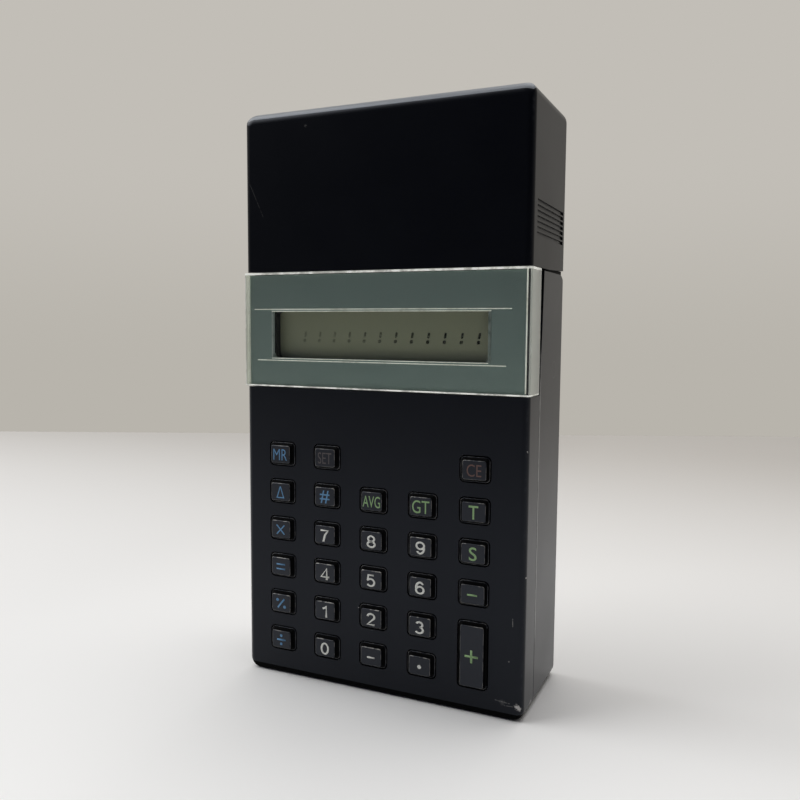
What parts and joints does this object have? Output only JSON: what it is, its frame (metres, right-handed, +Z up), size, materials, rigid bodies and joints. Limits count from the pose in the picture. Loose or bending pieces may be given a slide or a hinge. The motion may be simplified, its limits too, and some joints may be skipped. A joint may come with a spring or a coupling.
{
  "type": "electronic calculator",
  "caption": "Upright pocket business calculator with a pull-off top cap, metal display band under a clear cover, liquid crystal window and raised keys.",
  "frame": {"origin": "middle of the part's bounding box in X and Y, on the plane it stands on", "axes": "+X to the right of someone facing the keys, +Y into the body away from the keys, +Z up towards the cap"},
  "size_m": [0.0806, 0.0344, 0.1535],
  "materials": {
    "black_shell": "satin black, lightly worn",
    "key_plastic": "smooth satin black",
    "clear_plastic": "clear gloss plastic",
    "green_grey_metal": "green-grey satin anodised",
    "black_holder": "matt black",
    "lcd_glass": "olive liquid crystal panel with polariser",
    "reflector": "pale satin film",
    "grey_rubber": "matt grey",
    "board": "green solder mask",
    "chip": "moulded black",
    "steel": "zinc plated",
    "tray_plastic": "plain moulded",
    "cell_sleeve": "plain silver-grey sleeve",
    "spring_brass": "bright spring brass"
  },
  "bodies": {
    "case": {"front_shell": "black_shell", "rear_shell": "black_shell", "window_cover": "clear_plastic", "display_plate": "green_grey_metal", "display_holder": "black_holder", "lcd_panel": "lcd_glass", "lcd_reflector": "reflector", "connector_strip_top": "grey_rubber", "connector_strip_bottom": "grey_rubber", "keypad_mat": "grey_rubber", "main_board": "board", "processor_chip": "chip", "driver_chip": "chip", "capacitor": "steel", "case_screw_lower_left": "steel", "case_screw_lower_right": "steel", "case_screw_upper_left": "steel", "case_screw_upper_right": "steel", "battery_tray": "tray_plastic", "battery_cell_lower": "cell_sleeve", "battery_cell_upper": "cell_sleeve", "contact_positive": "spring_brass", "contact_negative": "spring_brass", "contact_link": "spring_brass", "power_switch_body": "steel"},
    "cap": {"cap": "black_shell"},
    "power_switch": {"power_switch_knob": "key_plastic"},
    "key_memory_recall": {"key_memory_recall": "key_plastic"},
    "key_delta": {"key_delta": "key_plastic"},
    "key_times": {"key_times": "key_plastic"},
    "key_equals": {"key_equals": "key_plastic"},
    "key_percent": {"key_percent": "key_plastic"},
    "key_divide": {"key_divide": "key_plastic"},
    "key_set": {"key_set": "key_plastic"},
    "key_number_sign": {"key_number_sign": "key_plastic"},
    "key_digit_7": {"key_digit_7": "key_plastic"},
    "key_digit_4": {"key_digit_4": "key_plastic"},
    "key_digit_1": {"key_digit_1": "key_plastic"},
    "key_digit_0": {"key_digit_0": "key_plastic"},
    "key_average": {"key_average": "key_plastic"},
    "key_digit_8": {"key_digit_8": "key_plastic"},
    "key_digit_5": {"key_digit_5": "key_plastic"},
    "key_digit_2": {"key_digit_2": "key_plastic"},
    "key_minus": {"key_minus": "key_plastic"},
    "key_grand_total": {"key_grand_total": "key_plastic"},
    "key_digit_9": {"key_digit_9": "key_plastic"},
    "key_digit_6": {"key_digit_6": "key_plastic"},
    "key_digit_3": {"key_digit_3": "key_plastic"},
    "key_point": {"key_point": "key_plastic"},
    "key_clear": {"key_clear": "key_plastic"},
    "key_total": {"key_total": "key_plastic"},
    "key_subtotal": {"key_subtotal": "key_plastic"},
    "key_subtract": {"key_subtract": "key_plastic"},
    "key_add": {"key_add": "key_plastic"}
  },
  "joints": [
    {"name": "cap_pull", "type": "slide", "parent": "case", "child": "cap", "axis": [0, 0, 1], "range_m": [0, 0.045]},
    {"name": "power_switch_slide", "type": "slide", "parent": "case", "child": "power_switch", "axis": [0, 0, 1], "range_m": [0, 0.004]},
    {"name": "press_memory_recall", "type": "slide", "parent": "case", "child": "key_memory_recall", "axis": [0, 1, 0], "range_m": [0, 0.001], "stiffness_N_per_m": 600, "deforming": ["keypad_mat"]},
    {"name": "press_delta", "type": "slide", "parent": "case", "child": "key_delta", "axis": [0, 1, 0], "range_m": [0, 0.001], "stiffness_N_per_m": 600, "deforming": ["keypad_mat"]},
    {"name": "press_times", "type": "slide", "parent": "case", "child": "key_times", "axis": [0, 1, 0], "range_m": [0, 0.001], "stiffness_N_per_m": 600, "deforming": ["keypad_mat"]},
    {"name": "press_equals", "type": "slide", "parent": "case", "child": "key_equals", "axis": [0, 1, 0], "range_m": [0, 0.001], "stiffness_N_per_m": 600, "deforming": ["keypad_mat"]},
    {"name": "press_percent", "type": "slide", "parent": "case", "child": "key_percent", "axis": [0, 1, 0], "range_m": [0, 0.001], "stiffness_N_per_m": 600, "deforming": ["keypad_mat"]},
    {"name": "press_divide", "type": "slide", "parent": "case", "child": "key_divide", "axis": [0, 1, 0], "range_m": [0, 0.001], "stiffness_N_per_m": 600, "deforming": ["keypad_mat"]},
    {"name": "press_set", "type": "slide", "parent": "case", "child": "key_set", "axis": [0, 1, 0], "range_m": [0, 0.001], "stiffness_N_per_m": 600, "deforming": ["keypad_mat"]},
    {"name": "press_number_sign", "type": "slide", "parent": "case", "child": "key_number_sign", "axis": [0, 1, 0], "range_m": [0, 0.001], "stiffness_N_per_m": 600, "deforming": ["keypad_mat"]},
    {"name": "press_digit_7", "type": "slide", "parent": "case", "child": "key_digit_7", "axis": [0, 1, 0], "range_m": [0, 0.001], "stiffness_N_per_m": 600, "deforming": ["keypad_mat"]},
    {"name": "press_digit_4", "type": "slide", "parent": "case", "child": "key_digit_4", "axis": [0, 1, 0], "range_m": [0, 0.001], "stiffness_N_per_m": 600, "deforming": ["keypad_mat"]},
    {"name": "press_digit_1", "type": "slide", "parent": "case", "child": "key_digit_1", "axis": [0, 1, 0], "range_m": [0, 0.001], "stiffness_N_per_m": 600, "deforming": ["keypad_mat"]},
    {"name": "press_digit_0", "type": "slide", "parent": "case", "child": "key_digit_0", "axis": [0, 1, 0], "range_m": [0, 0.001], "stiffness_N_per_m": 600, "deforming": ["keypad_mat"]},
    {"name": "press_average", "type": "slide", "parent": "case", "child": "key_average", "axis": [0, 1, 0], "range_m": [0, 0.001], "stiffness_N_per_m": 600, "deforming": ["keypad_mat"]},
    {"name": "press_digit_8", "type": "slide", "parent": "case", "child": "key_digit_8", "axis": [0, 1, 0], "range_m": [0, 0.001], "stiffness_N_per_m": 600, "deforming": ["keypad_mat"]},
    {"name": "press_digit_5", "type": "slide", "parent": "case", "child": "key_digit_5", "axis": [0, 1, 0], "range_m": [0, 0.001], "stiffness_N_per_m": 600, "deforming": ["keypad_mat"]},
    {"name": "press_digit_2", "type": "slide", "parent": "case", "child": "key_digit_2", "axis": [0, 1, 0], "range_m": [0, 0.001], "stiffness_N_per_m": 600, "deforming": ["keypad_mat"]},
    {"name": "press_minus", "type": "slide", "parent": "case", "child": "key_minus", "axis": [0, 1, 0], "range_m": [0, 0.001], "stiffness_N_per_m": 600, "deforming": ["keypad_mat"]},
    {"name": "press_grand_total", "type": "slide", "parent": "case", "child": "key_grand_total", "axis": [0, 1, 0], "range_m": [0, 0.001], "stiffness_N_per_m": 600, "deforming": ["keypad_mat"]},
    {"name": "press_digit_9", "type": "slide", "parent": "case", "child": "key_digit_9", "axis": [0, 1, 0], "range_m": [0, 0.001], "stiffness_N_per_m": 600, "deforming": ["keypad_mat"]},
    {"name": "press_digit_6", "type": "slide", "parent": "case", "child": "key_digit_6", "axis": [0, 1, 0], "range_m": [0, 0.001], "stiffness_N_per_m": 600, "deforming": ["keypad_mat"]},
    {"name": "press_digit_3", "type": "slide", "parent": "case", "child": "key_digit_3", "axis": [0, 1, 0], "range_m": [0, 0.001], "stiffness_N_per_m": 600, "deforming": ["keypad_mat"]},
    {"name": "press_point", "type": "slide", "parent": "case", "child": "key_point", "axis": [0, 1, 0], "range_m": [0, 0.001], "stiffness_N_per_m": 600, "deforming": ["keypad_mat"]},
    {"name": "press_clear", "type": "slide", "parent": "case", "child": "key_clear", "axis": [0, 1, 0], "range_m": [0, 0.001], "stiffness_N_per_m": 600, "deforming": ["keypad_mat"]},
    {"name": "press_total", "type": "slide", "parent": "case", "child": "key_total", "axis": [0, 1, 0], "range_m": [0, 0.001], "stiffness_N_per_m": 600, "deforming": ["keypad_mat"]},
    {"name": "press_subtotal", "type": "slide", "parent": "case", "child": "key_subtotal", "axis": [0, 1, 0], "range_m": [0, 0.001], "stiffness_N_per_m": 600, "deforming": ["keypad_mat"]},
    {"name": "press_subtract", "type": "slide", "parent": "case", "child": "key_subtract", "axis": [0, 1, 0], "range_m": [0, 0.001], "stiffness_N_per_m": 600, "deforming": ["keypad_mat"]},
    {"name": "press_add", "type": "slide", "parent": "case", "child": "key_add", "axis": [0, 1, 0], "range_m": [0, 0.001], "stiffness_N_per_m": 600, "deforming": ["keypad_mat"]}
  ]
}
